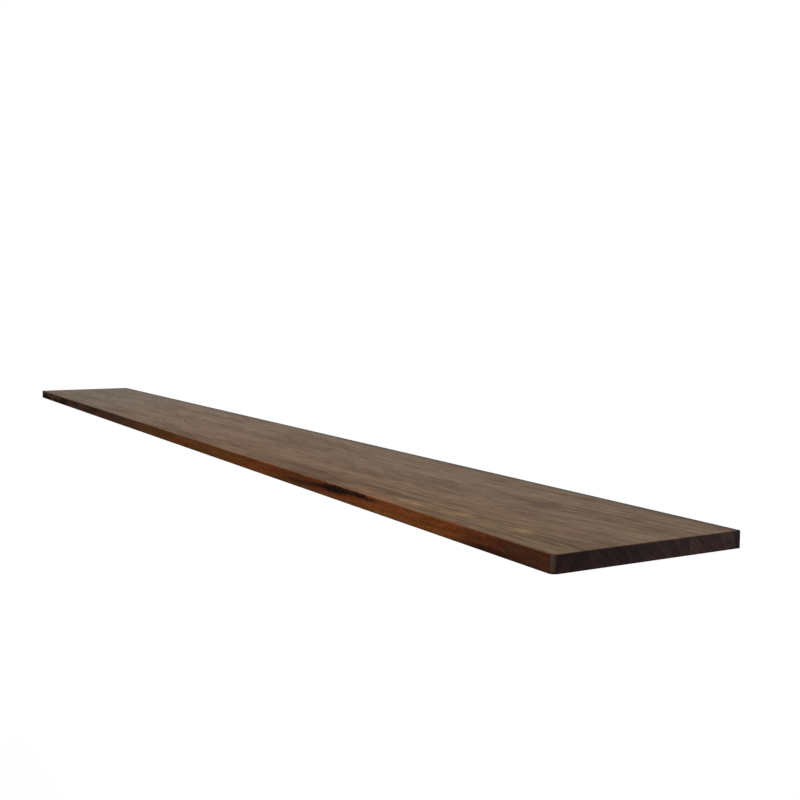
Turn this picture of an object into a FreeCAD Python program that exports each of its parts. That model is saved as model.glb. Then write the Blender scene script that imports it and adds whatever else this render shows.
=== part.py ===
import FreeCAD, Part
import os

from FreeCAD import Vector

# A floating wall shelf: a thin board glued up from four full-length walnut staves, pushed onto five
# steel rods that stand out of small plates screwed to the wall.
# Millimetres. X runs along the shelf, Y points into the wall, Z is up.
# The origin lies on the wall's face, at the middle of the shelf's length and of its thickness.

# Board
BOARD_LENGTH = 2000.0
BOARD_DEPTH = 200.0
BOARD_THICKNESS = 16.0
FRONT_CORNER_RADIUS = 6.5
EASED_EDGE_RADIUS = 1.0

# Staves, from the wall towards the room; the front one takes the rest of the depth
REAR_STAVE_WIDTH = 58.0
THIRD_STAVE_WIDTH = 54.0
SECOND_STAVE_WIDTH = 52.0

# Supports
SUPPORT_SPACING = 400.0
SUPPORT_PLACES = {"left_end": -2, "left_middle": -1, "centre": 0, "right_middle": 1, "right_end": 2}
PLATE_LENGTH = 72.0
PLATE_HEIGHT = 12.0
PLATE_THICKNESS = 4.0
PLATE_EDGE_CHAMFER = 0.4
ROD_RADIUS = 4.0
ROD_REACH = 130.0
ROD_TIP_CHAMFER = 1.0
SPIGOT_RADIUS = 3.0
SCREW_SPACING = 50.0

# Room for the supports in the board
RECESS_CLEARANCE = 0.4
RECESS_EXTRA_DEPTH = 0.5
BORE_CLEARANCE = 0.1
BORE_DEPTH = 135.0
DRILL_POINT_LENGTH = 2.4

# Countersunk wall screws
SCREW_LENGTH = 50.0
SCREW_HEAD_RADIUS = 4.1
SCREW_HEAD_HEIGHT = 2.3
SCREW_SHANK_RADIUS = 1.6
SCREW_THREAD_RADIUS = 2.2
SCREW_THREAD_PITCH = 2.0
SCREW_THREAD_START = 3.0
SCREW_POINT_LENGTH = 5.0
SCREW_HOLE_CLEARANCE = 0.2
HEAD_SEAT_CLEARANCE = 0.05
DRIVE_WIDTH = 0.9
DRIVE_SPAN = 4.4
DRIVE_DEPTH = 1.7

# Wall plugs
PLUG_RADIUS = 4.0
PLUG_LENGTH = 40.0
PLUG_BORE_RADIUS = 2.3
PLUG_TIP_RADIUS = 3.3
PLUG_TIP_LENGTH = 5.0
PLUG_NECK_LENGTH = 10.0
PLUG_BARB_PITCH = 4.0
PLUG_BARB_RADIUS = 3.9
PLUG_ROOT_RADIUS = 3.4
PLUG_SLOT_WIDTH = 1.0

Z_AXIS = Vector(0, 0, 1)
TOLERANCE = 0.001


def turned(profile):
    """A solid turned about the Y axis from (radius, y) points."""
    points = [Vector(radius, y, 0) for radius, y in profile]
    outline = Part.makePolygon(points + points[:1])
    return Part.Face(outline).revolve(Vector(0, 0, 0), Vector(0, 1, 0), 360)


def moved(shape, x):
    """A copy of the shape at another place along the shelf."""
    copy = shape.copy()
    copy.translate(Vector(x, 0, 0))
    return copy


def slab_with_round_ends(length, height, thickness):
    """A flat bar with half-round ends, from the wall's face towards the room."""
    radius = height / 2
    straight = length / 2 - radius
    lower_left = Vector(-straight, 0, -radius)
    lower_right = Vector(straight, 0, -radius)
    upper_right = Vector(straight, 0, radius)
    upper_left = Vector(-straight, 0, radius)
    edges = [
        Part.LineSegment(lower_left, lower_right).toShape(),
        Part.Arc(lower_right, Vector(straight + radius, 0, 0), upper_right).toShape(),
        Part.LineSegment(upper_right, upper_left).toShape(),
        Part.Arc(upper_left, Vector(-straight - radius, 0, 0), lower_left).toShape(),
    ]
    return Part.Face(Part.Wire(edges)).extrude(Vector(0, -thickness, 0))


def support_positions():
    """Where each support stands along the shelf, by its name."""
    return {name: step * SUPPORT_SPACING for name, step in SUPPORT_PLACES.items()}


def screw_offsets():
    """The two screws of a plate, left and right of its rod."""
    return (-SCREW_SPACING / 2, SCREW_SPACING / 2)


# ---------------------------------------------------------------- board

def board_blank():
    """The board with its rounded front corners and eased edges, before it is drilled."""
    corner = Vector(-BOARD_LENGTH / 2, -BOARD_DEPTH, -BOARD_THICKNESS / 2)
    blank = Part.makeBox(BOARD_LENGTH, BOARD_DEPTH, BOARD_THICKNESS, corner)
    front_corners = [
        edge for edge in blank.Edges
        if edge.tangentAt(edge.FirstParameter).isParallel(Z_AXIS, TOLERANCE)
        and edge.CenterOfMass.y < -BOARD_DEPTH / 2
    ]
    blank = blank.makeFillet(FRONT_CORNER_RADIUS, front_corners)
    rim = [
        edge for edge in blank.Edges
        if abs(abs(edge.CenterOfMass.z) - BOARD_THICKNESS / 2) < TOLERANCE
        and edge.CenterOfMass.y < -TOLERANCE
    ]
    return blank.makeFillet(EASED_EDGE_RADIUS, rim)


def support_room():
    """What is milled and drilled out of the board's back for one support."""
    recess = slab_with_round_ends(
        PLATE_LENGTH + 2 * RECESS_CLEARANCE,
        PLATE_HEIGHT + 2 * RECESS_CLEARANCE,
        PLATE_THICKNESS + RECESS_EXTRA_DEPTH,
    )
    radius = ROD_RADIUS + BORE_CLEARANCE
    bore = turned([(0, 0), (radius, 0), (radius, -BORE_DEPTH), (0, -BORE_DEPTH - DRILL_POINT_LENGTH)])
    return recess.fuse(bore)


def staves():
    """The four staves of the finished board, cut apart along their glue lines."""
    board = board_blank()
    room = support_room()
    for x in support_positions().values():
        board = board.cut(moved(room, x))
    widths = {
        "rear_stave": REAR_STAVE_WIDTH,
        "third_stave": THIRD_STAVE_WIDTH,
        "second_stave": SECOND_STAVE_WIDTH,
        "front_stave": BOARD_DEPTH - REAR_STAVE_WIDTH - THIRD_STAVE_WIDTH - SECOND_STAVE_WIDTH,
    }
    pieces = {}
    near = 0.0
    for name, width in widths.items():
        corner = Vector(-BOARD_LENGTH / 2 - 1, near - width, -BOARD_THICKNESS / 2 - 1)
        slab = Part.makeBox(BOARD_LENGTH + 2, width, BOARD_THICKNESS + 2, corner)
        pieces[name] = board.common(slab)
        near -= width
    return pieces


# ---------------------------------------------------------------- supports

def support_plate():
    """A steel plate with two countersunk screw holes and the hole that the rod's spigot fills."""
    plate = slab_with_round_ends(PLATE_LENGTH, PLATE_HEIGHT, PLATE_THICKNESS)
    room_side = [
        edge for edge in plate.Edges
        if abs(edge.CenterOfMass.y + PLATE_THICKNESS) < TOLERANCE
    ]
    plate = plate.makeChamfer(PLATE_EDGE_CHAMFER, room_side)
    hole = SCREW_THREAD_RADIUS + SCREW_HOLE_CLEARANCE
    head = SCREW_HEAD_RADIUS + HEAD_SEAT_CLEARANCE
    cone_end = -PLATE_THICKNESS + SCREW_HEAD_HEIGHT
    screw_hole = turned([(0, 0), (hole, 0), (hole, cone_end), (head, -PLATE_THICKNESS), (0, -PLATE_THICKNESS)])
    for offset in screw_offsets():
        plate = plate.cut(moved(screw_hole, offset))
    spigot_hole = turned([(0, 0), (SPIGOT_RADIUS, 0), (SPIGOT_RADIUS, -PLATE_THICKNESS), (0, -PLATE_THICKNESS)])
    return plate.cut(spigot_hole)


def support_rod():
    """A round bar that carries the board, with a turned spigot set in the plate."""
    return turned([
        (0, 0),
        (SPIGOT_RADIUS, 0),
        (SPIGOT_RADIUS, -PLATE_THICKNESS),
        (ROD_RADIUS, -PLATE_THICKNESS),
        (ROD_RADIUS, -ROD_REACH + ROD_TIP_CHAMFER),
        (ROD_RADIUS - ROD_TIP_CHAMFER, -ROD_REACH),
        (0, -ROD_REACH),
    ])


def wall_screw():
    """A countersunk screw with a cross recess, its head flush with the plate."""
    head_face = -PLATE_THICKNESS
    shank_end = head_face + SCREW_HEAD_HEIGHT
    thread_start = head_face + SCREW_THREAD_START
    tip = head_face + SCREW_LENGTH
    thread_end = tip - SCREW_POINT_LENGTH
    profile = [(0, head_face), (SCREW_HEAD_RADIUS, head_face), (SCREW_THREAD_RADIUS, shank_end)]
    profile.append((SCREW_SHANK_RADIUS, thread_start))
    turns = int((thread_end - thread_start) / SCREW_THREAD_PITCH)
    for turn in range(turns):
        root = thread_start + turn * SCREW_THREAD_PITCH
        profile.append((SCREW_THREAD_RADIUS, root + SCREW_THREAD_PITCH / 2))
        profile.append((SCREW_SHANK_RADIUS, root + SCREW_THREAD_PITCH))
    profile.append((0, tip))
    screw = turned(profile)
    for width, height in ((DRIVE_WIDTH, DRIVE_SPAN), (DRIVE_SPAN, DRIVE_WIDTH)):
        corner = Vector(-width / 2, head_face, -height / 2)
        screw = screw.cut(Part.makeBox(width, DRIVE_DEPTH, height, corner))
    return screw


def wall_plug():
    """A barbed plastic plug, split crosswise so that the screw spreads it in the wall."""
    profile = [(PLUG_BORE_RADIUS, 0), (PLUG_RADIUS, 0), (PLUG_RADIUS, PLUG_NECK_LENGTH)]
    barb_end = PLUG_LENGTH - PLUG_TIP_LENGTH
    barbs = int((barb_end - PLUG_NECK_LENGTH) / PLUG_BARB_PITCH)
    for barb in range(barbs):
        root = PLUG_NECK_LENGTH + barb * PLUG_BARB_PITCH
        profile.append((PLUG_ROOT_RADIUS, root + PLUG_BARB_PITCH / 4))
        profile.append((PLUG_BARB_RADIUS, root + PLUG_BARB_PITCH))
    profile.append((PLUG_TIP_RADIUS, PLUG_LENGTH))
    profile.append((PLUG_BORE_RADIUS, PLUG_LENGTH))
    plug = turned(profile)
    slot_length = PLUG_LENGTH - PLUG_NECK_LENGTH
    for width, height in ((PLUG_SLOT_WIDTH, 3 * PLUG_RADIUS), (3 * PLUG_RADIUS, PLUG_SLOT_WIDTH)):
        corner = Vector(-width / 2, PLUG_NECK_LENGTH, -height / 2)
        plug = plug.cut(Part.makeBox(width, slot_length, height, corner))
    return plug


# ---------------------------------------------------------------- assembly

def sub_parts():
    """Every node of the shelf, by name."""
    parts = staves()
    plate, rod, screw, plug = support_plate(), support_rod(), wall_screw(), wall_plug()
    for place, x in support_positions().items():
        parts[f"support_plate_{place}"] = moved(plate, x)
        parts[f"support_rod_{place}"] = moved(rod, x)
        parts[f"wall_screws_{place}"] = Part.makeCompound([moved(screw, x + dx) for dx in screw_offsets()])
        parts[f"wall_plugs_{place}"] = Part.makeCompound([moved(plug, x + dx) for dx in screw_offsets()])
    return parts


os.makedirs("parts", exist_ok=True)
for node, shape in sub_parts().items():
    if not shape.isValid():
        raise ValueError(f"{node} is not a valid shape")
    shape.exportStep(f"parts/{node}.step")
    print(node, len(shape.Solids), "solids", round(shape.Volume), "mm3")
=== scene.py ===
"""Dresses the floating wall shelf: an oiled walnut board and the steel supports hidden in its back.

Metres throughout. X runs along the shelf, Y points into the wall and Z is up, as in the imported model.
"""

import logging
import math
from dataclasses import dataclass, field
from enum import Enum
from typing import Any, Iterable, Optional, Union

import bpy
from mathutils import Matrix, Vector


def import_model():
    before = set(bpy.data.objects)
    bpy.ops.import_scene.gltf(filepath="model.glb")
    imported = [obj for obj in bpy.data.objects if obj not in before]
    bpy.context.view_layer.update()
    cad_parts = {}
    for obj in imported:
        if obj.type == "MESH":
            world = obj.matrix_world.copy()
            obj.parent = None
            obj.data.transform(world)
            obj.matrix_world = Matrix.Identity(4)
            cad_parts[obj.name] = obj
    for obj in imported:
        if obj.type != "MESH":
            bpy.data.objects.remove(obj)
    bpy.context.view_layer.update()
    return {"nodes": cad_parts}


LOG = logging.getLogger("wall_shelf")

Colour = tuple[float, float, float]
Tints = tuple[Colour, Colour]
Paint = Union[Colour, bpy.types.NodeSocket]
Number = Union["Signal", float]
Span = tuple[float, float]
Zones = tuple[tuple[float, Colour], ...]

WHITE: Colour = (1.0, 1.0, 1.0)
LEFT_END = -1.0
BOARD_LENGTH = 2.0
FRONT_EDGE = -0.200
FRAME_PIXELS = 800
SENSOR_WIDTH = 36.0


def toned(colour: Colour, tone: float) -> Colour:
    """The colour with every channel times the tone."""
    red, green, blue = colour
    return red * tone, green * tone, blue * tone


# ------------------------------------------------------------------ shader graph

@dataclass(frozen=True)
class Pattern:
    """A soft noise in the wood, metal or nylon.

    Along, across and up are how many times it changes in a metre. Layers is how many finer layers it
    has, and rough is how strong they are. A span draws it harder: below its first value it is 0, past
    its second 1. Centred noise runs about 0 instead of 0.5. Amount is what it is multiplied by at last.
    """

    along: float
    across: float = 0.0
    up: float = 0.0
    layers: float = 2.0
    rough: float = 0.5
    span: Optional[Span] = None
    centred: bool = False
    amount: float = 1.0


class Blend(Enum):
    """How one colour goes onto another."""

    COVER = "MIX"
    TINT = "MULTIPLY"


class Signal:
    """A number that varies over a surface. Python's operators on it add the Math nodes."""

    def __init__(self, graph: "Graph", socket: bpy.types.NodeSocket) -> None:
        """Wraps an output socket of the graph."""
        self.graph = graph
        self.socket = socket

    def math(self, operation: str, *others: Number, clamp: bool = False) -> "Signal":
        """Adds one Math node.

        Args:
            operation: the node's operation, such as "ADD".
            others: the second and third operands.
            clamp: whether the result stays between 0 and 1.

        Returns:
            The node's result.
        """
        settings = {"operation": operation, "use_clamp": clamp}
        node = self.graph.add("ShaderNodeMath", settings, dict(enumerate((self, *others))))
        return Signal(self.graph, node.outputs[0])

    def __add__(self, other: Number) -> "Signal":
        """Sum."""
        return self.math("ADD", other)

    __radd__ = __add__

    def __mul__(self, other: Number) -> "Signal":
        """Product."""
        return self.math("MULTIPLY", other)

    __rmul__ = __mul__

    def __sub__(self, other: Number) -> "Signal":
        """Difference."""
        return self.math("SUBTRACT", other)

    def __rsub__(self, other: float) -> "Signal":
        """Difference with the number first, as in 1 - mask."""
        node = self.graph.add("ShaderNodeMath", {"operation": "SUBTRACT"}, {0: other, 1: self})
        return Signal(self.graph, node.outputs[0])

    def __truediv__(self, other: Number) -> "Signal":
        """Quotient."""
        return self.math("DIVIDE", other)

    def __pow__(self, other: Number) -> "Signal":
        """Power."""
        return self.math("POWER", other)

    def clamped(self) -> "Signal":
        """The same, kept between 0 and 1."""
        return self.math("ADD", 0.0, clamp=True)

    def between(self, low: float, high: float) -> "Signal":
        """A number that is low where this is 0, and high where it is 1."""
        return self * (high - low) + low

    def step(self, low: float, high: float) -> "Signal":
        """A smooth step from 0 at low to 1 at high. With low above high it falls instead.

        Args:
            low: where the result is 0.
            high: where the result is 1.

        Returns:
            The step.
        """
        settings = {"interpolation_type": "SMOOTHSTEP"}
        inputs = {"Value": self, "From Min": low, "From Max": high}
        return Signal(self.graph, self.graph.add("ShaderNodeMapRange", settings, inputs).outputs[0])

    def hump(self, centre: float, half: float) -> "Signal":
        """A soft hump: 1 at the centre, about a third at half away, then nothing."""
        away = (self - centre) / half
        return (away * away * -1.0).math("EXPONENT")


class Graph:
    """The node tree of one material, or of the world."""

    def __init__(self, owner: Union[bpy.types.Material, bpy.types.World]) -> None:
        """Empties the tree of its owner.

        Args:
            owner: the material or the world.
        """
        owner.use_nodes = True
        self.owner = owner
        self.nodes = owner.node_tree.nodes
        self.links = owner.node_tree.links
        self.nodes.clear()

    @classmethod
    def of_material(cls, name: str) -> "Graph":
        """The graph of a new material."""
        return cls(bpy.data.materials.new(name))

    def add(self, kind: str, settings: dict[str, Any], inputs: dict[Any, Any]) -> bpy.types.Node:
        """Adds a node.

        Args:
            kind: the node's type.
            settings: its properties, set first. "stops" gives a colour ramp's (place, colour) pairs.
            inputs: socket name or number to a value, a Signal or an output socket.

        Returns:
            The node.
        """
        node = self.nodes.new(kind)
        for name, value in settings.items():
            if name == "stops":
                self._set_stops(node.color_ramp, value)
            else:
                setattr(node, name, value)
        for key, value in inputs.items():
            socket = node.inputs[key]
            if isinstance(value, Signal):
                self.links.new(value.socket, socket)
            elif isinstance(value, bpy.types.NodeSocket):
                self.links.new(value, socket)
            elif socket.type == "RGBA":
                socket.default_value = (*value, 1.0)
            else:
                socket.default_value = value
        return node

    @staticmethod
    def _set_stops(ramp: bpy.types.ColorRamp, stops: Iterable[tuple[float, Colour]]) -> None:
        """Gives a colour ramp its stops.

        Args:
            ramp: the ramp.
            stops: (place, colour) pairs, the places from 0 to 1.
        """
        stops = list(stops)
        while len(ramp.elements) < len(stops):
            ramp.elements.new(1.0)
        for element, (place, colour) in zip(ramp.elements, stops):
            element.position = place
            element.color = (*colour, 1.0)

    def point(self) -> tuple[Signal, Signal, Signal]:
        """The point on the surface, in the object's own metres."""
        return self._split(self.add("ShaderNodeTexCoord", {}, {}).outputs["Object"])

    def facing(self) -> tuple[Signal, Signal, Signal]:
        """The direction that the surface faces."""
        return self._split(self.add("ShaderNodeTexCoord", {}, {}).outputs["Normal"])

    def _split(self, vector: bpy.types.NodeSocket) -> tuple[Signal, Signal, Signal]:
        """The three parts of a vector.

        Args:
            vector: the vector.

        Returns:
            Its parts.
        """
        node = self.add("ShaderNodeSeparateXYZ", {}, {0: vector})
        x, y, z = (Signal(self, socket) for socket in node.outputs)
        return x, y, z

    def spread(
        self, pattern: Pattern, x: Number, y: Number = 0.0, z: Number = 0.0, seed: float = 0.0
    ) -> bpy.types.NodeSocket:
        """Where a pattern is read.

        Args:
            pattern: the pattern.
            x: the point's place along it.
            y: the point's place across it.
            z: the point's place up it.
            seed: how far the pattern is moved along.

        Returns:
            The scaled point, as a vector.
        """
        along = x * pattern.along
        if seed:
            along = along + seed
        parts = {0: along, 1: y * pattern.across, 2: z * pattern.up}
        return self.add("ShaderNodeCombineXYZ", {}, parts).outputs[0]

    def noise(
        self, pattern: Pattern, x: Number, y: Number = 0.0, z: Number = 0.0, seed: float = 0.0
    ) -> Signal:
        """Noise, drawn as its pattern says.

        Args:
            pattern: the pattern.
            x: the point's place along it.
            y: the point's place across it.
            z: the point's place up it.
            seed: how far the pattern is moved along.

        Returns:
            The noise.
        """
        place = self.spread(pattern, x, y, z, seed)
        inputs = {"Vector": place, "Scale": 1.0, "Detail": pattern.layers, "Roughness": pattern.rough}
        value = Signal(self, self.add("ShaderNodeTexNoise", {}, inputs).outputs[0])
        if pattern.span:
            value = value.step(*pattern.span)
        if pattern.centred:
            value = value - 0.5
        return value if pattern.amount == 1.0 else value * pattern.amount

    def mix(
        self, share: Number, first: Paint, second: Paint, blend: Blend = Blend.COVER
    ) -> bpy.types.NodeSocket:
        """Mixes two colours.

        Args:
            share: how much of the second colour shows.
            first: a colour or a colour socket.
            second: a colour or a colour socket.
            blend: how the second goes onto the first.

        Returns:
            The mixed colour.
        """
        settings = {"data_type": "RGBA", "blend_type": blend.value}
        return self.add("ShaderNodeMix", settings, {0: share, 6: first, 7: second}).outputs[2]

    def tint(
        self, colour: Paint, where: Signal, tints: Tints, share: float = 1.0
    ) -> bpy.types.NodeSocket:
        """Tints a colour by the first of two tints, and by the second where a mask is 1.

        Args:
            colour: the colour.
            where: the mask.
            tints: the two tints.
            share: how strongly they show.

        Returns:
            The tinted colour.
        """
        return self.mix(share, colour, self.mix(where, *tints), Blend.TINT)

    def bump(self, height: Signal, depth: float) -> bpy.types.NodeSocket:
        """A normal bent by a height from 0 to 1 that stands for the given depth."""
        inputs = {"Height": height, "Distance": depth, "Strength": 1.0}
        return self.add("ShaderNodeBump", {}, inputs).outputs[0]

    def shown(self) -> Signal:
        """Whether a ray comes from the camera, from a reflection or through glass.

        Returns:
            1 for such a ray, and 0 for any other.
        """
        rays = self.add("ShaderNodeLightPath", {}, {}).outputs
        camera, glossy, through = (
            Signal(self, rays[f"Is {kind} Ray"]) for kind in ("Camera", "Glossy", "Transmission"))
        return camera.math("MAXIMUM", glossy).math("MAXIMUM", through)

    def mix_shaders(
        self, share: Number, first: bpy.types.Node, second: bpy.types.Node
    ) -> bpy.types.Node:
        """A shader that shows the second by the share, and the first otherwise."""
        inputs = {0: share, 1: first.outputs[0], 2: second.outputs[0]}
        return self.add("ShaderNodeMixShader", {}, inputs)

    def end(self, shader: bpy.types.Node, output: str = "ShaderNodeOutputMaterial") -> None:
        """Ends the graph in a shader."""
        self.add(output, {}, {0: shader.outputs[0]})

    def surface(self, inputs: dict[str, Any]) -> None:
        """Ends the graph in a Principled shader with these inputs."""
        self.end(self.add("ShaderNodeBsdfPrincipled", {}, inputs))


# ------------------------------------------------------------------ marks in the wood

FLECK_BREAK = Pattern(45.0, 420.0, span=(0.28, 0.58))
KNOT_WAVE = Pattern(90.0, 220.0, layers=3.0, centred=True, amount=0.5)
SCAR_RAGGED = Pattern(95.0, 80.0, 420.0, 4.0, 0.75, centred=True)
SCAR_FLAKE = Pattern(120.0, 300.0, 500.0, 3.0, 0.6, span=(0.62, 0.46))


class Tone(Enum):
    """The colour of a fleck."""

    SAPWOOD = (0.262, 0.158, 0.060)
    ORANGE = (0.225, 0.078, 0.022)
    DARK = (0.070, 0.024, 0.006)


@dataclass(frozen=True)
class Fleck:
    """A short streak on the top: its middle, half length and half width, and how it runs."""

    x: float
    y: float
    length: float
    width: float
    strength: float
    tone: Tone = Tone.SAPWOOD
    tilt: float = 0.10

    def mask(self, wood: "CutWood") -> Signal:
        """Where the fleck shows, broken up by the grain.

        Args:
            wood: the stave's wood.

        Returns:
            The fleck's share.
        """
        broken = wood.graph.noise(FLECK_BREAK, wood.x, wood.side)
        across = (wood.y - (wood.x - self.x) * self.tilt).hump(self.y, self.width)
        return wood.x.hump(self.x, self.length) * across * broken * self.strength


@dataclass(frozen=True)
class Eye:
    """A small closed knot: a dark oval with a rim to its right and rings inside.

    It has a middle, a half length and a half width, and bend is how far the grain runs round it. Edge
    and ring_edge are where the oval and its rings end and where they are full, and rim is the rim's
    middle and half width, all as shares of the knot's half size. Rim_side is where the rim grows in,
    from left to right, and rings is how many rings there are.
    """

    x: float
    y: float
    length: float
    width: float
    bend: float = 0.85
    edge: Span = (1.10, 0.65)
    edge_tone: float = 0.90
    rim: Span = (0.82, 0.16)
    rim_side: Span = (-0.6, 0.7)
    rim_tone: float = 0.45
    rings: float = 3.4
    ring_edge: Span = (1.05, 0.75)
    ring_wave: float = 1.8
    ring_sharpness: float = 2.0
    ring_tone: float = 0.75

    def masks(self, wood: "CutWood") -> tuple[Signal, Signal]:
        """Where the knot shows.

        Args:
            wood: the stave's wood.

        Returns:
            The shares of its oval and of its rings.
        """
        along = (wood.x - self.x) / self.length
        over = (wood.y - self.y) / self.width
        oval = (along * along + over * over).math("SQRT")
        wave = wood.graph.noise(KNOT_WAVE, wood.x, wood.y)
        away = oval + wave
        rim = away.hump(*self.rim) * along.step(*self.rim_side)
        spot = (away.step(*self.edge) * self.edge_tone + rim * self.rim_tone).clamped()
        ring = (oval * self.rings + wave * self.ring_wave).math("FRACT") ** self.ring_sharpness
        return spot, ring * away.step(*self.ring_edge) * self.ring_tone


@dataclass(frozen=True)
class BarkScar:
    """A dark scar on the front edge, black in its core and stained beyond it.

    Its middle stands at the height crest and climbs by rise to the right, falling away from that line
    on both sides. Core and reach are the half lengths of the black and of the stain, and lean is how
    far the stain's middle lies to the left. Thin and thick are its half heights at the ends and in the
    middle, and ragged is how far they stray. Black is how dark the core is, and bend is how far the
    grain gives way round it. Depth is how deep behind the edge it ends, and how deep it is still full.
    Fade is the same for its height, in half heights. Flaked is how black its core is where it flakes,
    and boost is how far the core is widened.
    """

    x: float
    crest: float
    core: float
    reach: float
    thin: float
    thick: float
    rise: float = 0.0
    fall: float = 0.0
    lean: float = 0.0
    black: float = 1.0
    bend: float = 0.0
    ragged: float = 0.0115
    depth: Span = (0.0013, 0.00039)
    fade: Span = (1.6, 0.5)
    flaked: float = 0.55
    boost: float = 1.5

    def masks(self, wood: "CutWood") -> tuple[Signal, Signal]:
        """Where the scar shows.

        Args:
            wood: the stave's wood.

        Returns:
            The shares of its stain and of its black core.
        """
        run = wood.x - self.x
        stray = wood.graph.noise(SCAR_RAGGED, wood.x, wood.y, wood.z) * self.ragged
        off = wood.z - self.crest - run * self.rise + run * run * self.fall + stray
        middle = wood.x.hump(self.x, self.core)
        half = middle.between(self.thin, self.thick)
        band = (off.math("ABSOLUTE") / half).step(*self.fade) * wood.depth.step(*self.depth)
        stain = band * wood.x.hump(self.x - self.lean, self.reach)
        flake = wood.graph.noise(SCAR_FLAKE, wood.x, wood.y, wood.z).between(self.flaked, 1.0)
        return stain, (band * middle * self.boost).clamped() * flake * self.black


# ------------------------------------------------------------------ how a stave is cut

SWAY = Pattern(1.7, layers=1.0, centred=True)
DRIFT = Pattern(2.2, 14.0, 14.0, centred=True, amount=0.010)
DRIFT_UP = 0.6
RIPPLE = Pattern(13.0, 90.0, 90.0, centred=True, amount=0.0016)
BROAD = Pattern(45.0, 3.0, span=(0.35, 0.65), amount=0.32)
STREAK = Pattern(9.0, 112.0, 180.0, 3.0, 0.6, span=(0.38, 0.62), amount=0.40)
DASH = Pattern(28.0, 240.0, 260.0, 2.0, 0.6, span=(0.40, 0.60), amount=0.40)
FIBRE = Pattern(50.0, 1100.0, 1100.0, 2.0, 0.6, span=(0.3, 0.7), amount=0.16)
EARLY_WOOD = 0.12
FIGURE_BASE = -0.18
RING_FADE = Pattern(0.7, 6.0, span=(0.35, 0.70))
RING_SHARPNESS = 5.0
ZONE_WOBBLE = Pattern(16.0, layers=3.0, centred=True, amount=0.05)
PORE = Pattern(210.0, 1900.0, 1900.0, span=(0.36, 0.18))


@dataclass(frozen=True)
class WalnutStave:
    """How one stave was cut from its tree, and its colours.

    The growth rings are tubes about the tree's heart, so the same figure runs over the top, the front
    edge and the end grain. The grain leans by slope, strays by sway, and turns towards the wall by sweep
    past sweep_start. Zones are (place along X, colour) pairs from left to right, and edge_zones are
    those of the wood that shows on the front edge. End_tone is how pale the end grain is.
    """

    node: str
    heart: tuple[float, float]
    ring_width: float
    seed: float
    zones: Zones
    slope: float
    sway: float = 0.012
    sweep: float = 0.0
    sweep_start: float = 0.62
    end_tone: float = 1.0
    gloss: float = 0.07
    edge_zones: Zones = ()
    flecks: tuple[Fleck, ...] = ()
    eyes: tuple[Eye, ...] = ()
    scars: tuple[BarkScar, ...] = ()


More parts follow.
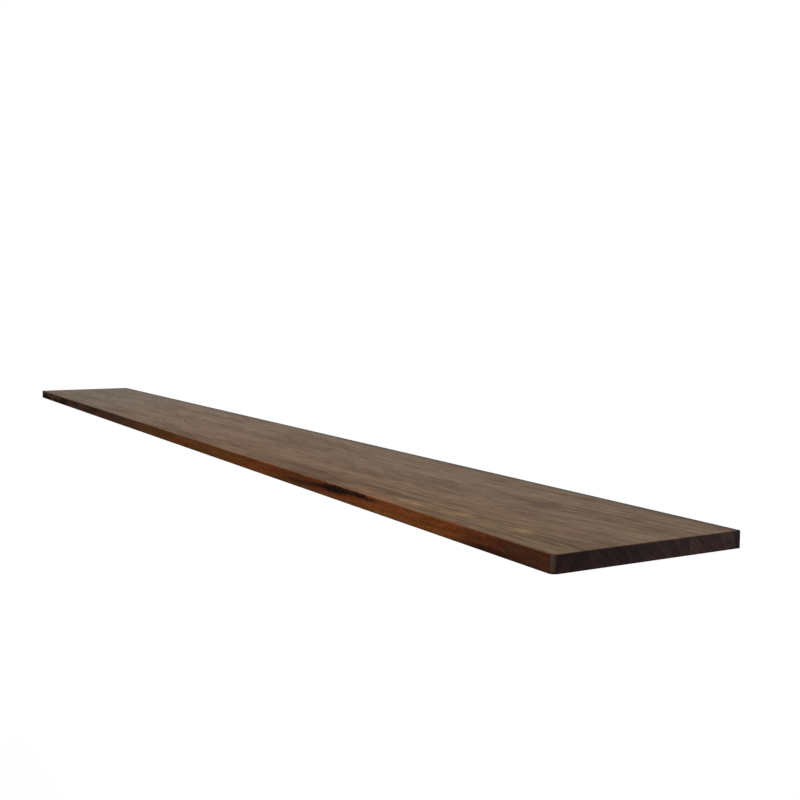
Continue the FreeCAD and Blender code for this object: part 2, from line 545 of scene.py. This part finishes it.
class CutWood:
    """The wood of one stave, as its material reads it.

    X, y and z are the point on the surface, depth is how far it lies behind the front edge, and facing
    is the direction that the surface faces. Side and lift are its place across the grain, with the
    grain's own bends taken out, and radius is its distance from the tree's heart. Figure runs from 0,
    deep, to 1, pale, and late is 1 on the dark line that ends a year's growth.
    """

    def __init__(self, graph: Graph, stave: WalnutStave) -> None:
        """Lays the stave's figure over its faces.

        Args:
            graph: the stave's material.
            stave: the stave.
        """
        self.graph = graph
        self.stave = stave
        self.x, self.y, self.z = graph.point()
        self.facing = graph.facing()
        self.depth = self.y - FRONT_EDGE
        self.side = self._side()
        self.lift = self._lift()
        self.radius = self._radius()
        rings = self.radius / stave.ring_width
        year = rings.math("FRACT")
        self.figure = self._figure(year)
        self.late = year ** RING_SHARPNESS * self.own(RING_FADE, rings, self.x)

    def own(self, pattern: Pattern, x: Number, y: Number = 0.0, z: Number = 0.0) -> Signal:
        """Noise that differs from stave to stave."""
        return self.graph.noise(pattern, x, y, z, self.stave.seed)

    def colour(self, zones: Zones) -> bpy.types.NodeSocket:
        """The wood's main colour, which changes along the stave.

        Args:
            zones: (place along X, colour) pairs.

        Returns:
            The colour.
        """
        stops = [((place - LEFT_END) / BOARD_LENGTH, colour) for place, colour in zones]
        share = (self.x - LEFT_END) / BOARD_LENGTH + self.own(ZONE_WOBBLE, self.x)
        return self.graph.add("ShaderNodeValToRGB", {"stops": stops}, {0: share}).outputs[0]

    def pores(self) -> Signal:
        """Fine open pores, cut lengthwise into short dashes.

        Returns:
            1 in a pore, and 0 beside it.
        """
        inputs = {"Vector": self.graph.spread(PORE, self.x, self.side, self.lift), "Scale": 1.0}
        cells = self.graph.add("ShaderNodeTexVoronoi", {"feature": "F1"}, inputs)
        return Signal(self.graph, cells.outputs["Distance"]).step(*PORE.span)

    def _side(self) -> Signal:
        """The place across the grain, which leans, strays, sweeps and runs round the knots.

        Returns:
            The place, in metres.
        """
        stave = self.stave
        run = (self.x - stave.sweep_start).math("MAXIMUM", 0.0)
        stray = self.own(SWAY, self.x) * stave.sway
        side = self.y - (run * run * stave.sweep + self.x * stave.slope + stray)
        for eye in stave.eyes:
            near = self.x.hump(eye.x, eye.length) * self.y.hump(eye.y, eye.width)
            side = side - (self.y - eye.y) * near * eye.bend
        return side

    def _lift(self) -> Signal:
        """The height, bent where the grain gives way round a scar.

        Returns:
            The bent height, in metres.
        """
        lift = self.z
        for scar in self.stave.scars:
            if scar.bend:
                lift = lift + self.x.hump(scar.x, scar.reach) * scar.bend
        return lift

    def _radius(self) -> Signal:
        """The distance from the tree's heart, with the tree's own unevenness.

        Returns:
            The distance, in metres.
        """
        drift = self.own(DRIFT, self.x, self.side, self.lift)
        ripple = self.own(RIPPLE, self.x, self.side, self.lift)
        heart_y, heart_z = self.stave.heart
        across = self.side - heart_y + drift + ripple
        up = self.lift - heart_z + drift * DRIFT_UP
        return (across * across + up * up).math("SQRT")

    def _figure(self, year: Signal) -> Signal:
        """Streaks of tone from 0, deep, to 1, pale.

        Args:
            year: how far the point lies through its year's growth.

        Returns:
            The figure.
        """
        broad = self.own(BROAD, self.radius, self.x)
        streak = self.own(STREAK, self.x, self.side, self.lift)
        dash = self.own(DASH, self.x, self.side, self.lift)
        fibre = self.graph.noise(FIBRE, self.x, self.side, self.lift)
        early = (1.0 - year) * EARLY_WOOD
        return (broad + streak + dash + early + fibre + FIGURE_BASE).clamped()


# ------------------------------------------------------------------ finishes

BLUSH = Pattern(54.0, 64.0, 140.0, span=(0.38, 0.62))
EDGE_RAGGED = Pattern(30.0, 150.0, 150.0, centred=True, amount=0.0008)
EDGE_BLOTCH = Pattern(11.0, 60.0, 95.0, 3.0, 0.6, span=(0.42, 0.60))
EDGE_PATCH = Pattern(9.0, 60.0, 70.0, span=(0.38, 0.62))
EDGE_MOTTLE = Pattern(170.0, 60.0, 260.0, span=(0.35, 0.65), centred=True, amount=0.28)
END_ARC = Pattern(170.0, 40.0, 40.0, 2.0, 0.6, span=(0.34, 0.72), amount=0.80)
END_PATCH = Pattern(20.0, 55.0, 40.0, 1.0, span=(0.36, 0.64))
RUB_PATCH = Pattern(12.0, layers=3.0, span=(0.30, 0.60), amount=0.05)
METAL_STAIN = Pattern(60.0, 60.0, 60.0, 3.0, span=(0.35, 0.7), amount=0.5)
NYLON_FLOW = Pattern(300.0, 90.0, 300.0, 3.0)

LONG_TINTS: Tints = ((0.97, 1.035, 0.92), (1.03, 0.955, 0.98))
SAWN_TINTS: Tints = ((0.90, 1.04, 0.96), (1.12, 0.96, 1.02))


@dataclass(frozen=True)
class FrontSkin:
    """The skin of the front edge, plainer than the top, with dark blotches towards its left end.

    Depth is how deep the skin ends, and how deep it is still full. The blotches grow along X over
    blotch_run, from the first of blotch_tones to the second. Plain is how far the figure gives way to
    plain_tone.
    """

    depth: Span = (0.0018, 0.0006)
    blotch: Colour = (0.008, 0.0045, 0.004)
    blotch_run: Span = (-0.28, -0.72)
    blotch_tones: Span = (0.05, 0.84)
    blotch_seed: float = 12.0
    tint_share: float = 0.7
    plain: float = 0.5
    plain_tone: float = 0.55

    def lay(self, wood: CutWood, pale: Paint, tone: Signal) -> tuple[Paint, Signal]:
        """Lays the skin over the long grain.

        Args:
            wood: the stave's wood.
            pale: the colour of the wood's pale streaks.
            tone: how far those show.

        Returns:
            Both, changed where the skin is.
        """
        graph = wood.graph
        skin = (wood.depth + graph.noise(EDGE_RAGGED, wood.x, wood.y, wood.lift)).step(*self.depth)
        mottle = graph.noise(EDGE_MOTTLE, wood.x, wood.y, wood.lift)
        tone = tone + ((self.plain_tone - tone) * self.plain + mottle) * skin
        return graph.mix(skin, pale, self._colour(wood)), tone

    def _colour(self, wood: CutWood) -> bpy.types.NodeSocket:
        """The skin's own colour.

        Args:
            wood: the stave's wood.

        Returns:
            The colour.
        """
        graph = wood.graph
        blotch = graph.noise(EDGE_BLOTCH, wood.x, wood.y, wood.lift, self.blotch_seed)
        share = blotch * wood.x.step(*self.blotch_run).between(*self.blotch_tones)
        colour = graph.mix(share, wood.colour(wood.stave.edge_zones), self.blotch)
        patch = wood.own(EDGE_PATCH, wood.x, wood.y, wood.lift)
        return graph.tint(colour, patch, SAWN_TINTS, self.tint_share)


@dataclass(frozen=True)
class EndGrain:
    """The sawn ends, where the growth rings show as arcs.

    A face shows end grain by how squarely it looks along X, over the span square. Tones are how dark
    and how light its arcs are.
    """

    colour: Colour = (0.0280, 0.0158, 0.0144)
    tones: Span = (0.70, 1.65)
    square: Span = (0.55, 0.95)
    figure_tone: float = 0.20
    late_tone: float = 0.35

    def mask(self, wood: CutWood) -> Signal:
        """Where end grain shows."""
        return wood.facing[0].math("ABSOLUTE").step(*self.square)

    def paint(self, wood: CutWood) -> bpy.types.NodeSocket:
        """The colour of the end grain.

        Args:
            wood: the stave's wood.

        Returns:
            The colour.
        """
        graph, stave = wood.graph, wood.stave
        dark, light = (toned(self.colour, stave.end_tone * tone) for tone in self.tones)
        arcs = wood.own(END_ARC, wood.radius, wood.side, wood.lift) + wood.figure * self.figure_tone
        colour = graph.mix(arcs.clamped(), dark, light)
        colour = graph.mix(wood.late * self.late_tone, colour, dark)
        patch = graph.noise(END_PATCH, wood.x, wood.y + stave.seed / END_PATCH.across, wood.z)
        return graph.tint(colour, patch, SAWN_TINTS)


@dataclass(frozen=True)
class PaintedLightAndWear:
    """Painted light on the board, with its worn edges.

    The round front corners carry a painted highlight, by corner_tones from the left one to the right one,
    and the upper edges a little, partly painted highlight and partly worn by handling. Painted shade
    darkens the back along the wall, from back_span on, and the foot of the upright faces, over foot_span.
    """

    # The colour of the painted highlight on the corners, and of the worn upper edges.
    highlight_and_wear: Colour = (0.130, 0.088, 0.085)
    corner_turn: Span = (0.20, 0.52)
    corner_height: Span = (-0.010, 0.002)
    corner_run: Span = (-0.6, 0.6)
    corner_tones: Span = (0.18, 0.52)
    edge_turn: Span = (0.15, 0.50)
    # The colour of the painted shade at the back and at the foot.
    painted_shade: Colour = (0.010, 0.008, 0.007)
    back_span: Span = (-0.0080, -0.0030)
    back_tone: float = 0.80
    foot_span: Span = (-0.0064, -0.0074)
    foot_turn: Span = (0.95, 0.80)
    foot_tone: float = 0.70

    def lay(self, wood: CutWood, colour: Paint) -> Paint:
        """Lays the painted highlight, the painted shade and the worn edges over the wood.

        Args:
            wood: the stave's wood.
            colour: the colour so far.

        Returns:
            The colour with all of them.
        """
        graph = wood.graph
        # Painted highlight on the round front corners; the upper edges get a little of it, partly as worn
        # edges.
        colour = graph.mix(self._highlight_and_wear(wood), colour, self.highlight_and_wear)
        # Painted shade: a dark band along the back of the top, where the board meets the wall.
        colour = graph.mix(wood.y.step(*self.back_span) * self.back_tone, colour, self.painted_shade)
        # Painted shade: the foot of the upright faces darkened, under the board.
        upright = wood.facing[2].math("ABSOLUTE").step(*self.foot_turn)
        return graph.mix(wood.z.step(*self.foot_span) * upright * self.foot_tone, colour, self.painted_shade)

    def _highlight_and_wear(self, wood: CutWood) -> Signal:
        """How much painted highlight the corners get, and how worn the upper edges are.

        Args:
            wood: the stave's wood.

        Returns:
            The share of the highlight colour.
        """
        along, towards_wall, up = wood.facing
        across = along.math("ABSOLUTE")
        out = (towards_wall * -1.0).clamped()
        corner = (across * out).step(*self.corner_turn) * wood.z.step(*self.corner_height)
        edge = ((out + across) * up).step(*self.edge_turn)
        strength = wood.x.step(*self.corner_run).between(*self.corner_tones)
        return corner * strength + edge * wood.graph.noise(RUB_PATCH, wood.x)


@dataclass(frozen=True)
class OiledWalnut:
    """Oiled walnut with open pores.

    Shade deepens the pale wood into its dark streaks. The figure is calmer at the left end: calm_tones
    say how strong it is there and at the right end, and calm_run is where it changes. Roughness is that
    of the deep wood and of the pale wood, and end_roughness is added on the ends.
    """

    shade: Colour = (0.37, 0.26, 0.06)
    late_wood: Colour = (0.062, 0.023, 0.003)
    late_tone: float = 0.78
    calm_run: Span = (-1.1, -0.2)
    calm_tones: Span = (0.6, 1.0)
    knot: Colour = (0.072, 0.032, 0.006)
    stain: Colour = (0.040, 0.0125, 0.0065)
    bark: Colour = (0.0085, 0.0042, 0.0042)
    pore: Colour = (0.018, 0.009, 0.006)
    pore_tone: float = 0.45
    pore_depth: float = 0.00010
    figure_relief: float = 0.3
    scar_relief: float = 1.2
    roughness: Span = (0.55, 0.49)
    end_roughness: float = 0.10
    front: FrontSkin = FrontSkin()
    ends: EndGrain = EndGrain()
    # Painted highlight, painted shade and worn edges.
    light_and_wear: PaintedLightAndWear = PaintedLightAndWear()

    def dress(self, stave: WalnutStave) -> bpy.types.Material:
        """Makes the material of one stave.

        Args:
            stave: the stave's cut and colours.

        Returns:
            The material.
        """
        graph = Graph.of_material(f"walnut_{stave.node}")
        wood = CutWood(graph, stave)
        colour, height = self._marks(wood, self._long_grain(wood))
        pore = wood.pores()
        colour = graph.mix(pore * self.pore_tone, colour, self.pore)
        sawn = self.ends.mask(wood)
        colour = graph.mix(sawn, colour, self.ends.paint(wood))
        graph.surface({
            "Base Color": self.light_and_wear.lay(wood, colour),
            "Roughness": wood.figure.between(*self.roughness) + sawn * self.end_roughness,
            "Specular IOR Level": stave.gloss,
            "Normal": graph.bump(height - pore, self.pore_depth),
        })
        return graph.owner

    def _long_grain(self, wood: CutWood) -> bpy.types.NodeSocket:
        """The colour of sound long grain.

        Args:
            wood: the stave's wood.

        Returns:
            The colour.
        """
        graph = wood.graph
        calm = wood.x.step(*self.calm_run).between(*self.calm_tones)
        tone = (wood.figure - 0.5) * calm + 0.5
        pale = wood.colour(wood.stave.zones)
        if wood.stave.edge_zones:
            pale, tone = self.front.lay(wood, pale, tone)
        deep = graph.mix(1.0, pale, self.shade, Blend.TINT)
        blush = wood.own(BLUSH, wood.x, wood.side, wood.lift)
        colour = graph.tint(graph.mix(tone, deep, pale), blush, LONG_TINTS)
        return graph.mix(wood.late * calm * self.late_tone, colour, self.late_wood)

    def _marks(self, wood: CutWood, colour: Paint) -> tuple[Paint, Signal]:
        """Adds the stave's flecks, knots and scars. The black core of a scar lies a little deep.

        Args:
            wood: the stave's wood.
            colour: the colour so far.

        Returns:
            The marked colour, and the height of the surface before its pores.
        """
        graph, stave = wood.graph, wood.stave
        height = wood.figure * self.figure_relief
        for fleck in stave.flecks:
            colour = graph.mix(fleck.mask(wood), colour, fleck.tone.value)
        for eye in stave.eyes:
            spot, rings = eye.masks(wood)
            colour = graph.mix(spot, colour, self.knot)
            colour = graph.mix(rings, colour, self.stain)
        for scar in stave.scars:
            stained, core = scar.masks(wood)
            colour = graph.mix(stained, colour, self.stain)
            colour = graph.mix(core, colour, self.bark)
            height = height - core * self.scar_relief
        return colour, height


@dataclass(frozen=True)
class PlainMetal:
    """A metal with a fine drawn or brushed grain, dulled in patches."""

    name: str
    colour: Colour
    roughness: float
    grain: Pattern
    dull_tone: float = 0.7
    scratch_roughness: float = 0.25
    scratch_depth: float = 0.00002

    def dress(self) -> bpy.types.Material:
        """Makes the material.

        Returns:
            The material.
        """
        graph = Graph.of_material(self.name)
        x, y, z = graph.point()
        scratch = graph.noise(self.grain, x, y, z)
        dull = graph.noise(METAL_STAIN, x, y, z)
        graph.surface({
            "Base Color": graph.mix(dull, self.colour, toned(self.colour, self.dull_tone)),
            "Metallic": 1.0,
            "Roughness": scratch * self.scratch_roughness + self.roughness,
            "Normal": graph.bump(scratch, self.scratch_depth),
        })
        return graph.owner


@dataclass(frozen=True)
class MouldedNylon:
    """Grey moulded nylon."""

    colour: Colour = (0.30, 0.31, 0.33)
    dark_tone: float = 0.75
    roughness: Span = (0.4, 0.6)
    flow_depth: float = 0.00003

    def dress(self) -> bpy.types.Material:
        """Makes the material.

        Returns:
            The material.
        """
        graph = Graph.of_material("moulded_nylon")
        flow = graph.noise(NYLON_FLOW, *graph.point())
        graph.surface({
            "Base Color": graph.mix(flow, toned(self.colour, self.dark_tone), self.colour),
            "Roughness": flow.between(*self.roughness),
            "Normal": graph.bump(flow, self.flow_depth),
        })
        return graph.owner


# ------------------------------------------------------------------ pieces

JOINT_FLECK = Fleck(0.912, -0.1652, 0.016, 0.0060, 0.95, tilt=0.15)

STAVES = (
    WalnutStave(
        "front_stave", heart=(-0.150, -0.055), ring_width=0.0058, seed=3.1, slope=0.012, sway=0.006,
        end_tone=0.95, gloss=0.045,
        # Between about x -0.4 and 0.6 these zones are warmer and darker, partly as wood tone and partly
        # as painted shadow and reflection.
        zones=(
            (-1.0, (0.100, 0.078, 0.057)), (-0.1, (0.122, 0.066, 0.030)), (0.55, (0.132, 0.063, 0.020)),
            (0.74, (0.155, 0.083, 0.031)), (1.0, (0.141, 0.086, 0.042))),
        edge_zones=(
            (-1.0, (0.068, 0.045, 0.040)), (-0.70, (0.064, 0.034, 0.031)),
            (-0.30, (0.057, 0.029, 0.022)), (0.05, (0.134, 0.053, 0.018)),
            (0.40, (0.156, 0.049, 0.014)), (0.52, (0.136, 0.045, 0.017)),
            (0.70, (0.205, 0.065, 0.019)), (0.84, (0.198, 0.063, 0.018)),
            (0.94, (0.090, 0.029, 0.018))),
        flecks=(
            Fleck(0.622, -0.1865, 0.026, 0.0082, 0.42),
            Fleck(0.742, -0.1815, 0.024, 0.0084, 0.66),
            Fleck(0.821, -0.1705, 0.019, 0.0074, 0.68, tilt=0.20),
            Fleck(0.872, -0.1690, 0.030, 0.0045, 0.28, tilt=0.08),
            JOINT_FLECK,
            Fleck(0.662, -0.1880, 0.017, 0.0056, 0.80, Tone.ORANGE, tilt=-0.10),
            Fleck(0.712, -0.1930, 0.022, 0.0056, 0.85, Tone.ORANGE, tilt=-0.06),
            Fleck(0.520, -0.1815, 0.110, 0.0032, 0.90, Tone.DARK, tilt=0.0),
            Fleck(0.672, -0.1755, 0.032, 0.0040, 0.85, Tone.DARK, tilt=0.04),
            Fleck(0.738, -0.1680, 0.026, 0.0036, 0.80, Tone.DARK),
            Fleck(0.440, -0.1905, 0.090, 0.0026, 0.85, Tone.DARK, tilt=0.0)),
        scars=(
            BarkScar(
                0.614, crest=0.0036, core=0.036, reach=0.110, thin=0.0022, thick=0.0036, rise=0.034,
                fall=0.10, lean=0.034, black=0.92, bend=0.007),
            BarkScar(
                0.668, crest=0.0050, core=0.019, reach=0.040, thin=0.0014, thick=0.0021, rise=-0.030,
                fall=0.10, black=0.80),
            BarkScar(
                0.912, crest=-0.0058, core=0.020, reach=0.050, thin=0.0026, thick=0.0028, black=0.30))),
    WalnutStave(
        "second_stave", heart=(-0.262, -0.070), ring_width=0.0072, seed=11.7, slope=0.02, sweep=0.22,
        end_tone=0.95,
        # Around x 0.2 to 0.6 these zones are warmer and darker, partly as wood tone and partly as painted
        # shadow.
        zones=(
            (-1.0, (0.084, 0.062, 0.042)), (0.2, (0.140, 0.071, 0.028)), (0.75, (0.171, 0.094, 0.040)),
            (1.0, (0.145, 0.083, 0.042))),
        flecks=(
            JOINT_FLECK,
            Fleck(0.845, -0.1590, 0.055, 0.0020, 0.70, Tone.DARK),
            Fleck(0.915, -0.1400, 0.060, 0.0022, 0.60, Tone.DARK, tilt=0.12),
            Fleck(0.930, -0.1180, 0.060, 0.0024, 0.60, Tone.DARK, tilt=0.08))),
    WalnutStave(
        "third_stave", heart=(-0.205, -0.075), ring_width=0.0070, seed=23.4, slope=0.01, sweep=0.22,
        end_tone=1.36, eyes=(Eye(0.820, -0.0745, 0.023, 0.016),),
        zones=(
            (-1.0, (0.078, 0.058, 0.039)), (-0.5, (0.115, 0.071, 0.038)), (0.1, (0.130, 0.072, 0.030)),
            (1.0, (0.156, 0.095, 0.050)))),
    WalnutStave(
        "rear_stave", heart=(-0.160, -0.095), ring_width=0.0085, seed=37.9, slope=0.015, sweep=0.10,
        end_tone=1.88,
        zones=(
            (-1.0, (0.080, 0.058, 0.040)), (-0.4, (0.124, 0.074, 0.038)), (0.5, (0.131, 0.076, 0.034)),
            (1.0, (0.161, 0.097, 0.049)))),
)


@dataclass
class Board:
    """The walnut board, glued up from four staves."""

    nodes: dict[str, bpy.types.Object]
    walnut: OiledWalnut = OiledWalnut()
    staves: tuple[WalnutStave, ...] = STAVES

    def dress(self) -> None:
        """Gives each stave its own cut of walnut."""
        for stave in self.staves:
            put_on(self.nodes[stave.node], self.walnut.dress(stave))
            LOG.info("dressed %s", stave.node)


@dataclass
class Supports:
    """The five concealed supports with their screws and plugs."""

    nodes: dict[str, bpy.types.Object]
    plate: PlainMetal = PlainMetal(
        "zinc_plate", (0.50, 0.51, 0.53), 0.34, Pattern(30.0, 900.0, 900.0, 4.0))
    rod: PlainMetal = PlainMetal(
        "drawn_bar", (0.55, 0.55, 0.56), 0.22, Pattern(900.0, 30.0, 900.0, 4.0))
    screw: PlainMetal = PlainMetal(
        "yellow_zinc", (0.62, 0.54, 0.36), 0.25, Pattern(400.0, 400.0, 400.0, 4.0))
    plug: MouldedNylon = MouldedNylon()

    def dress(self) -> None:
        """Gives each kind of piece its finish."""
        finishes = {
            "support_plate": self.plate.dress(),
            "support_rod": self.rod.dress(),
            "wall_screws": self.screw.dress(),
            "wall_plugs": self.plug.dress(),
        }
        for name, node in self.nodes.items():
            for kind, material in finishes.items():
                if name.startswith(kind):
                    put_on(node, material)
                    LOG.info("dressed %s", name)


def put_on(piece: bpy.types.Object, material: bpy.types.Material) -> None:
    """Puts one material on every slot of a piece.

    Args:
        piece: the piece.
        material: the material.
    """
    if not piece.material_slots:
        piece.data.materials.append(material)
    for slot in piece.material_slots:
        slot.material = material


# ------------------------------------------------------------------ studio

class Face(Enum):
    """Which way a stage sheet looks, as its turn about X in degrees."""

    UP = 0.0
    ROOM = 90.0


@dataclass
class Studio:
    """The floor, the wall behind the shelf, the dark curtain, the lamp and the camera.

    The curtain's gap is the part of its half circle that stays open towards the camera, in degrees from
    the X axis. The camera's yaw and pitch are in degrees, and its focal length is in pixels of the frame.
    """

    floor_height: float = -1.4
    floor_size: float = 40.0
    floor_colour: Colour = (0.36, 0.355, 0.35)
    floor_white: Colour = (0.88, 0.88, 0.88)
    floor_shadow: float = 0.30
    shadow_reach: Span = (3.0, 0.9)
    wall_size: float = 12.0
    wall_gap: float = 0.0004
    curtain_radius: float = 5.0
    curtain_top: float = 2.4
    curtain_steps: int = 96
    curtain_edge: float = -0.01
    curtain_gap: Span = (-57.0, -19.0)
    curtain_colour: Colour = (0.012, 0.011, 0.011)
    rug_lift: float = 0.01
    ambient: float = 0.66
    key_place: Vector = field(default_factory=lambda: Vector((-1.4, -1.9, 2.3)))
    key_size: float = 1.6
    key_power: float = 105.0
    key_colour: Colour = (1.0, 0.95, 0.88)
    camera_place: Vector = field(default_factory=lambda: Vector((1.6724, -0.7056, 0.1961)))
    camera_yaw: float = 61.115
    camera_pitch: float = -4.652
    camera_reach: Span = (0.01, 100.0)
    focal_pixels: float = 1093.66

    def build(self) -> None:
        """Makes everything that isn't part of the shelf."""
        self._sheet("floor", Face.UP, self.floor_size, Vector((0.0, 0.0, self.floor_height)))
        self._sheet("wall", Face.ROOM, self.wall_size, Vector((0.0, self.wall_gap, 0.0)))
        self._curtain()
        self._world()
        self._key_lamp()
        self._camera()
        bpy.context.scene.view_settings.view_transform = "Standard"

    def _sheet(self, name: str, face: Face, size: float, place: Vector) -> None:
        """Adds a large sheet that shows white from its front and nothing from behind.

        Args:
            name: the sheet's name.
            face: which way it looks.
            size: the length of its sides.
            place: its middle.
        """
        turn = (math.radians(face.value), 0.0, 0.0)
        bpy.ops.mesh.primitive_plane_add(size=size, location=place, rotation=turn)
        sheet = bpy.context.object
        sheet.name = name
        put_on(sheet, self._backdrop(f"{name}_white", self.floor_shadow if face is Face.UP else 0.0))
        if face is Face.ROOM:
            sheet.visible_diffuse = False
            sheet.visible_shadow = False
        LOG.info("staged %s", name)

    def _curtain(self) -> None:
        """Hangs a dark half-round curtain with a rug, which show only in reflections."""
        bpy.ops.mesh.primitive_circle_add(
            vertices=self.curtain_steps, radius=self.curtain_radius, fill_type="NGON",
            location=(0.0, 0.0, self.floor_height + self.rug_lift))
        curtain = bpy.context.object
        curtain.name = "dark_curtain"
        bpy.ops.object.mode_set(mode="EDIT")
        bpy.ops.mesh.select_all(action="SELECT")
        bpy.ops.mesh.bisect(
            plane_co=(0.0, self.curtain_edge, 0.0), plane_no=(0.0, 1.0, 0.0), clear_outer=True)
        bpy.ops.mesh.select_all(action="SELECT")
        bpy.ops.mesh.extrude_region_move(
            TRANSFORM_OT_translate={"value": (0.0, 0.0, self.curtain_top - self.floor_height)})
        bpy.ops.mesh.delete(type="ONLY_FACE")
        bpy.ops.mesh.select_all(action="DESELECT")
        bpy.ops.object.mode_set(mode="OBJECT")
        bpy.ops.object.transform_apply(location=True)
        self._open(curtain)
        graph = Graph.of_material("curtain_cloth")
        graph.surface({"Base Color": self.curtain_colour, "Roughness": 1.0, "Specular IOR Level": 0.0})
        put_on(curtain, graph.owner)
        curtain.visible_camera = False
        curtain.visible_diffuse = False
        curtain.visible_shadow = False
        curtain.visible_transmission = False
        LOG.info("staged %s", curtain.name)

    def _open(self, curtain: bpy.types.Object) -> None:
        """Opens the curtain at the wall and towards the camera.

        Args:
            curtain: the curtain, with nothing selected.
        """
        for face in curtain.data.polygons:
            face.select = self._is_opening(face.center)
        bpy.ops.object.mode_set(mode="EDIT")
        bpy.ops.mesh.delete(type="FACE")
        bpy.ops.object.mode_set(mode="OBJECT")

    def _is_opening(self, middle: Vector) -> bool:
        """Whether a face of the curtain stands before the wall or in the gap towards the camera.

        Args:
            middle: the face's middle.

        Returns:
            Whether it is left open.
        """
        if middle.z < self.floor_height + 2.0 * self.rug_lift:
            return False
        low, high = (math.radians(angle) for angle in self.curtain_gap)
        return middle.y > 2.0 * self.curtain_edge or low < math.atan2(middle.y, middle.x) < high

    def _backdrop(self, name: str, shadow: float) -> bpy.types.Material:
        """White to the camera and in reflections, pale to other light, clear from behind.

        Args:
            name: the material's name.
            shadow: the share of the white that comes from the light that falls on it, near the shelf.

        Returns:
            The material.
        """
        graph = Graph.of_material(name)
        glow = graph.add("ShaderNodeEmission", {}, {"Color": WHITE, "Strength": 1.0})
        lit = graph.add("ShaderNodeBsdfDiffuse", {}, {"Color": self.floor_white})
        pale = graph.add("ShaderNodeBsdfDiffuse", {}, {"Color": self.floor_colour})
        clear = graph.add("ShaderNodeBsdfTransparent", {}, {})
        x, y, _ = graph.point()
        near = (x * x + y * y).math("SQRT").step(*self.shadow_reach)
        white = graph.mix_shaders(near * shadow, glow, lit)
        front = graph.mix_shaders(graph.shown(), pale, white)
        behind = Signal(graph, graph.add("ShaderNodeNewGeometry", {}, {}).outputs["Backfacing"])
        graph.end(graph.mix_shaders(behind, front, clear))
        return graph.owner

    def _world(self) -> None:
        """A white surround that shows at full white but lights the shelf at a plain level."""
        graph = Graph(bpy.data.worlds.new("studio"))
        bpy.context.scene.world = graph.owner
        light = graph.add("ShaderNodeBackground", {}, {"Color": WHITE, "Strength": self.ambient})
        white = graph.add("ShaderNodeBackground", {}, {"Color": WHITE, "Strength": 1.0})
        graph.end(graph.mix_shaders(graph.shown(), light, white), "ShaderNodeOutputWorld")

    def _key_lamp(self) -> None:
        """A large soft lamp from the upper left, which gives no highlight of its own."""
        bpy.ops.object.light_add(type="AREA", location=self.key_place)
        lamp = bpy.context.object
        lamp.name = "key_lamp"
        lamp.data.size = self.key_size
        lamp.data.energy = self.key_power
        lamp.data.color = self.key_colour
        lamp.rotation_euler = (-self.key_place).to_track_quat("-Z", "Y").to_euler()
        lamp.visible_glossy = False

    def _camera(self) -> None:
        """Stands the camera to the right of the shelf, a little above it, looking left along it."""
        yaw, pitch = math.radians(self.camera_yaw), math.radians(self.camera_pitch)
        level = math.cos(pitch)
        ahead = Vector((-math.sin(yaw) * level, math.cos(yaw) * level, math.sin(pitch)))
        right = Vector((math.cos(yaw), math.sin(yaw), 0.0))
        data = bpy.data.cameras.new("camera")
        data.sensor_width = SENSOR_WIDTH
        data.lens = self.focal_pixels / FRAME_PIXELS * SENSOR_WIDTH
        data.clip_start, data.clip_end = self.camera_reach
        camera = bpy.data.objects.new("camera", data)
        bpy.context.scene.collection.objects.link(camera)
        rows = zip(right, right.cross(ahead), -ahead, self.camera_place)
        camera.matrix_world = Matrix([*rows, (0.0, 0.0, 0.0, 1.0)])
        bpy.context.scene.camera = camera


def main() -> None:
    """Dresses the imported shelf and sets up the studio."""
    logging.basicConfig(level=logging.INFO)
    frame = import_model()
    bpy.ops.object.select_all(action="DESELECT")
    Board(frame["nodes"]).dress()
    Supports(frame["nodes"]).dress()
    Studio().build()


if __name__ == "__main__":
    main()
